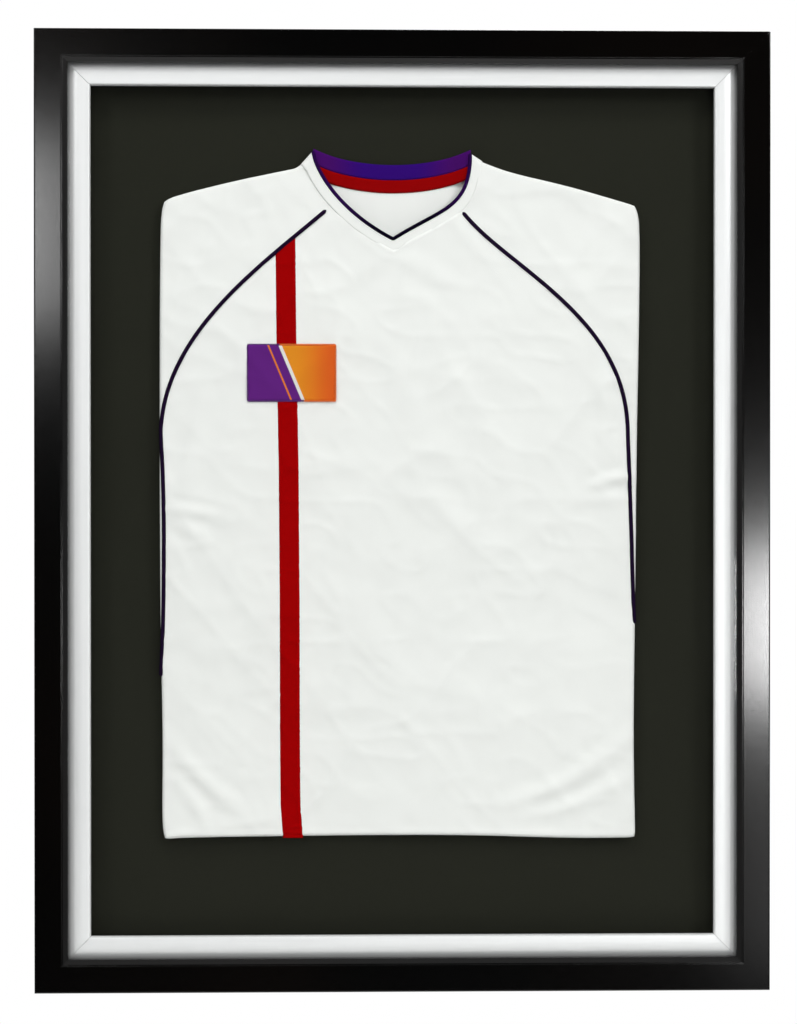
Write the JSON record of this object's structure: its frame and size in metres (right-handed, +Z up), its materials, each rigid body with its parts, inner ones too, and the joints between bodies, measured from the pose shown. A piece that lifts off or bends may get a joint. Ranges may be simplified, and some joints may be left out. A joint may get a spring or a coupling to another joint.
{
  "type": "jersey display frame",
  "caption": "Mitred black wall frame with silver slip, clear glazing and a folded sports shirt on a black mount board, with a removable back pack, turn buttons and D-ring hangers.",
  "frame": {"origin": "middle of the wall plane, where the rear faces of the bumpers lie", "axes": "+X to the viewer's right, +Z up, front facing -Y"},
  "size_m": [0.652, 0.039, 0.852],
  "materials": {
    "black_moulding": "satin black lacquer",
    "silver_slip": "satin silver foil",
    "clear_glazing": "clear acrylic",
    "black_spacer": "matt black",
    "black_mount": "matt black board",
    "brown_board": "kraft corrugated board",
    "hardboard": "pressed brown hardboard",
    "foam_board": "white foam board",
    "pad_foam": "white foam tape",
    "white_cloth": "white knitted polyester",
    "purple_cord": "dark purple piping",
    "purple_tape": "purple neck tape",
    "red_cloth": "red knitted polyester",
    "woven_patch": "woven patch",
    "brass_plated": "brass plated steel",
    "zinc_steel": "zinc plated steel",
    "plain_steel": "plain steel",
    "black_rubber": "matt rubber"
  },
  "bodies": {
    "frame": {"frame_rail_top": "black_moulding", "frame_rail_bottom": "black_moulding", "frame_rail_left": "black_moulding", "frame_rail_right": "black_moulding", "corner_v_nails": "plain_steel", "slip_top": "silver_slip", "slip_bottom": "silver_slip", "slip_left": "silver_slip", "slip_right": "silver_slip", "glazing_sheet": "clear_glazing", "spacer_strip_top": "black_spacer", "spacer_strip_bottom": "black_spacer", "spacer_strip_left": "black_spacer", "spacer_strip_right": "black_spacer", "turn_button_screws": "brass_plated", "hanger_strap_left": "zinc_steel", "hanger_strap_right": "zinc_steel", "hanger_screws": "zinc_steel", "wall_bumpers": "black_rubber"},
    "back_pack": {"mount_board": "black_mount", "filler_board": "brown_board", "back_panel": "hardboard", "jersey_form": "foam_board", "fixing_pads": "pad_foam", "jersey_front_panel": "white_cloth", "jersey_back_panel": "white_cloth", "jersey_sleeve_left": "white_cloth", "jersey_sleeve_right": "white_cloth", "collar_band": "white_cloth", "neck_piping": "purple_cord", "neck_tape_purple": "purple_tape", "neck_tape_red": "red_cloth", "raglan_piping_left": "purple_cord", "raglan_piping_right": "purple_cord", "chest_stripe": "red_cloth", "chest_patch": "woven_patch"},
    "turn_button_01": {"turn_button_01": "brass_plated"},
    "turn_button_02": {"turn_button_02": "brass_plated"},
    "turn_button_03": {"turn_button_03": "brass_plated"},
    "turn_button_04": {"turn_button_04": "brass_plated"},
    "turn_button_05": {"turn_button_05": "brass_plated"},
    "turn_button_06": {"turn_button_06": "brass_plated"},
    "turn_button_07": {"turn_button_07": "brass_plated"},
    "turn_button_08": {"turn_button_08": "brass_plated"},
    "turn_button_09": {"turn_button_09": "brass_plated"},
    "turn_button_10": {"turn_button_10": "brass_plated"},
    "turn_button_11": {"turn_button_11": "brass_plated"},
    "turn_button_12": {"turn_button_12": "brass_plated"},
    "ring_left": {"hanger_ring_left": "zinc_steel"},
    "ring_right": {"hanger_ring_right": "zinc_steel"}
  },
  "joints": [
    {"name": "back_pack_slide", "type": "slide", "parent": "frame", "child": "back_pack", "axis": [0, 1, 0], "range_m": [0, 0.06]},
    {"name": "turn_button_01_turn", "type": "hinge", "parent": "frame", "child": "turn_button_01", "pos_m": [-0.19, -0.0044, 0.409], "axis": [0, 1, 0], "range_deg": [-90, 0]},
    {"name": "turn_button_02_turn", "type": "hinge", "parent": "frame", "child": "turn_button_02", "pos_m": [0, -0.0044, 0.409], "axis": [0, 1, 0], "range_deg": [-90, 0]},
    {"name": "turn_button_03_turn", "type": "hinge", "parent": "frame", "child": "turn_button_03", "pos_m": [0.19, -0.0044, 0.409], "axis": [0, 1, 0], "range_deg": [-90, 0]},
    {"name": "turn_button_04_turn", "type": "hinge", "parent": "frame", "child": "turn_button_04", "pos_m": [0.309, -0.0044, 0.28], "axis": [0, -1, 0], "range_deg": [-90, 0]},
    {"name": "turn_button_05_turn", "type": "hinge", "parent": "frame", "child": "turn_button_05", "pos_m": [0.309, -0.0044, 0], "axis": [0, -1, 0], "range_deg": [-90, 0]},
    {"name": "turn_button_06_turn", "type": "hinge", "parent": "frame", "child": "turn_button_06", "pos_m": [0.309, -0.0044, -0.28], "axis": [0, -1, 0], "range_deg": [-90, 0]},
    {"name": "turn_button_07_turn", "type": "hinge", "parent": "frame", "child": "turn_button_07", "pos_m": [0.19, -0.0044, -0.409], "axis": [0, 1, 0], "range_deg": [-90, 0]},
    {"name": "turn_button_08_turn", "type": "hinge", "parent": "frame", "child": "turn_button_08", "pos_m": [0, -0.0044, -0.409], "axis": [0, 1, 0], "range_deg": [-90, 0]},
    {"name": "turn_button_09_turn", "type": "hinge", "parent": "frame", "child": "turn_button_09", "pos_m": [-0.19, -0.0044, -0.409], "axis": [0, 1, 0], "range_deg": [-90, 0]},
    {"name": "turn_button_10_turn", "type": "hinge", "parent": "frame", "child": "turn_button_10", "pos_m": [-0.309, -0.0044, -0.28], "axis": [0, 1, 0], "range_deg": [-90, 0]},
    {"name": "turn_button_11_turn", "type": "hinge", "parent": "frame", "child": "turn_button_11", "pos_m": [-0.309, -0.0044, 0], "axis": [0, 1, 0], "range_deg": [-90, 0]},
    {"name": "turn_button_12_turn", "type": "hinge", "parent": "frame", "child": "turn_button_12", "pos_m": [-0.309, -0.0044, 0.28], "axis": [0, 1, 0], "range_deg": [-90, 0]},
    {"name": "hanger_ring_left_swing", "type": "hinge", "parent": "frame", "child": "ring_left", "pos_m": [-0.3135, -0.0027, 0.215], "axis": [1, 0, 0], "range_deg": [0, 180]},
    {"name": "hanger_ring_right_swing", "type": "hinge", "parent": "frame", "child": "ring_right", "pos_m": [0.3135, -0.0027, 0.215], "axis": [1, 0, 0], "range_deg": [0, 180]}
  ]
}
